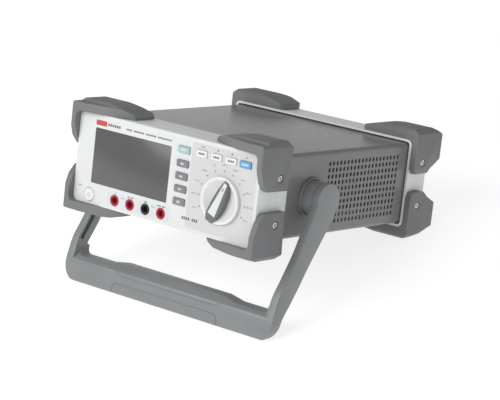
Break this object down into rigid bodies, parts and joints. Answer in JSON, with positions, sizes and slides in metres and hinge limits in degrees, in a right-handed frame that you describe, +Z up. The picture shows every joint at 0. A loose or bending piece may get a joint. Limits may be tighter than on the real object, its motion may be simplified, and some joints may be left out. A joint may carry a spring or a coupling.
{
  "type": "bench multimeter",
  "caption": "Bench digital multimeter with a screen, a rotary dial and input sockets, in a sleeve case with corner bumpers, leaning back on its swing handle.",
  "frame": {"origin": "on the surface it stands on, under the middle of the whole object's box, with the handle swung down in front as a stand", "axes": "+Z is up, the front panel faces -Y and leans back, and +X is to the right seen from the front"},
  "size_m": [0.293, 0.3406, 0.2022],
  "materials": {
    "white_plastic": "fine matt texture",
    "key_white": "satin",
    "key_grey": "satin",
    "key_green": "satin",
    "key_blue": "satin",
    "grey_rubber": "matt",
    "grey_paint": "fine powder coat",
    "grey_plastic": "satin",
    "knob_light": "satin",
    "knob_dark": "satin",
    "jack_red": "gloss",
    "jack_black": "gloss",
    "screen": "smooth",
    "screw_steel": "turned",
    "steel": "satin",
    "aluminium": "satin",
    "board_green": "solder mask",
    "dark_plastic": "satin",
    "iron": "lacquered laminations",
    "copper": "enamelled wire",
    "ribbon_grey": "smooth",
    "ceramic": "glazed"
  },
  "bodies": {
    "case": {"front_bezel": "white_plastic", "rear_bezel": "white_plastic", "case_sleeve": "grey_paint", "rear_panel": "aluminium", "chassis_tray": "aluminium", "bumper_front_lower_left": "grey_rubber", "bumper_front_lower_right": "grey_rubber", "bumper_front_upper_left": "grey_rubber", "bumper_front_upper_right": "grey_rubber", "bumper_rear_lower_left": "grey_rubber", "bumper_rear_lower_right": "grey_rubber", "bumper_rear_upper_left": "grey_rubber", "bumper_rear_upper_right": "grey_rubber", "bumper_screw_front_lower_left": "screw_steel", "bumper_screw_front_lower_right": "screw_steel", "bumper_screw_front_upper_left": "screw_steel", "bumper_screw_front_upper_right": "screw_steel", "bumper_screw_rear_lower_left": "screw_steel", "bumper_screw_rear_lower_right": "screw_steel", "bumper_screw_rear_upper_left": "screw_steel", "bumper_screw_rear_upper_right": "screw_steel", "display_window": "screen", "lcd_module": "screen", "lcd_frame": "steel", "front_board": "board_green", "main_board": "board_green", "power_switch": "dark_plastic", "rotary_switch": "dark_plastic", "input_jack_1": "jack_red", "input_jack_2": "jack_red", "input_jack_3": "jack_black", "input_jack_4": "jack_red", "handle_boss_left": "grey_plastic", "handle_boss_right": "grey_plastic", "transformer_core": "iron", "transformer_coil": "copper", "measuring_shield": "steel", "heat_sink": "aluminium", "current_fuse_1": "ceramic", "current_fuse_2": "ceramic", "ribbon_cable": "ribbon_grey", "mains_inlet": "dark_plastic", "fuse_cap": "dark_plastic", "usb_port": "steel", "serial_port": "steel"},
    "handle": {"carry_handle": "grey_plastic"},
    "dial": {"knob_disc": "knob_light", "knob_grip": "knob_dark", "knob_insert": "key_white", "dial_shaft": "steel"},
    "power": {"power_button": "key_white"},
    "select": {"key_select": "key_green"},
    "soft_1": {"key_soft_1": "key_grey"},
    "soft_2": {"key_soft_2": "key_grey"},
    "soft_3": {"key_soft_3": "key_grey"},
    "soft_4": {"key_soft_4": "key_grey"},
    "hold": {"key_hold": "key_white"},
    "range": {"key_range": "key_white"},
    "relative": {"key_relative": "key_white"},
    "shift": {"key_shift": "key_blue"}
  },
  "joints": [
    {"name": "handle_swing", "type": "hinge", "parent": "case", "child": "handle", "pos_m": [0, -0.05593, 0.11306], "axis": [1, 0, 0], "range_deg": [-214, 91]},
    {"name": "dial_turn", "type": "hinge", "parent": "case", "child": "dial", "pos_m": [0.0796, -0.1459, 0.13726], "axis": [0, -0.9483, 0.3173], "range_deg": [-90, 135]},
    {"name": "power_press", "type": "slide", "parent": "case", "child": "power", "axis": [0, 0.9483, -0.3173], "range_m": [0, 0.003], "stiffness_N_per_m": 1500},
    {"name": "select_press", "type": "slide", "parent": "case", "child": "select", "axis": [0, 0.9483, -0.3173], "range_m": [0, 0.001], "stiffness_N_per_m": 1500},
    {"name": "soft_1_press", "type": "slide", "parent": "case", "child": "soft_1", "axis": [0, 0.9483, -0.3173], "range_m": [0, 0.001], "stiffness_N_per_m": 1500},
    {"name": "soft_2_press", "type": "slide", "parent": "case", "child": "soft_2", "axis": [0, 0.9483, -0.3173], "range_m": [0, 0.001], "stiffness_N_per_m": 1500},
    {"name": "soft_3_press", "type": "slide", "parent": "case", "child": "soft_3", "axis": [0, 0.9483, -0.3173], "range_m": [0, 0.001], "stiffness_N_per_m": 1500},
    {"name": "soft_4_press", "type": "slide", "parent": "case", "child": "soft_4", "axis": [0, 0.9483, -0.3173], "range_m": [0, 0.001], "stiffness_N_per_m": 1500},
    {"name": "hold_press", "type": "slide", "parent": "case", "child": "hold", "axis": [0, 0.9483, -0.3173], "range_m": [0, 0.001], "stiffness_N_per_m": 1500},
    {"name": "range_press", "type": "slide", "parent": "case", "child": "range", "axis": [0, 0.9483, -0.3173], "range_m": [0, 0.001], "stiffness_N_per_m": 1500},
    {"name": "relative_press", "type": "slide", "parent": "case", "child": "relative", "axis": [0, 0.9483, -0.3173], "range_m": [0, 0.001], "stiffness_N_per_m": 1500},
    {"name": "shift_press", "type": "slide", "parent": "case", "child": "shift", "axis": [0, 0.9483, -0.3173], "range_m": [0, 0.001], "stiffness_N_per_m": 1500}
  ]
}
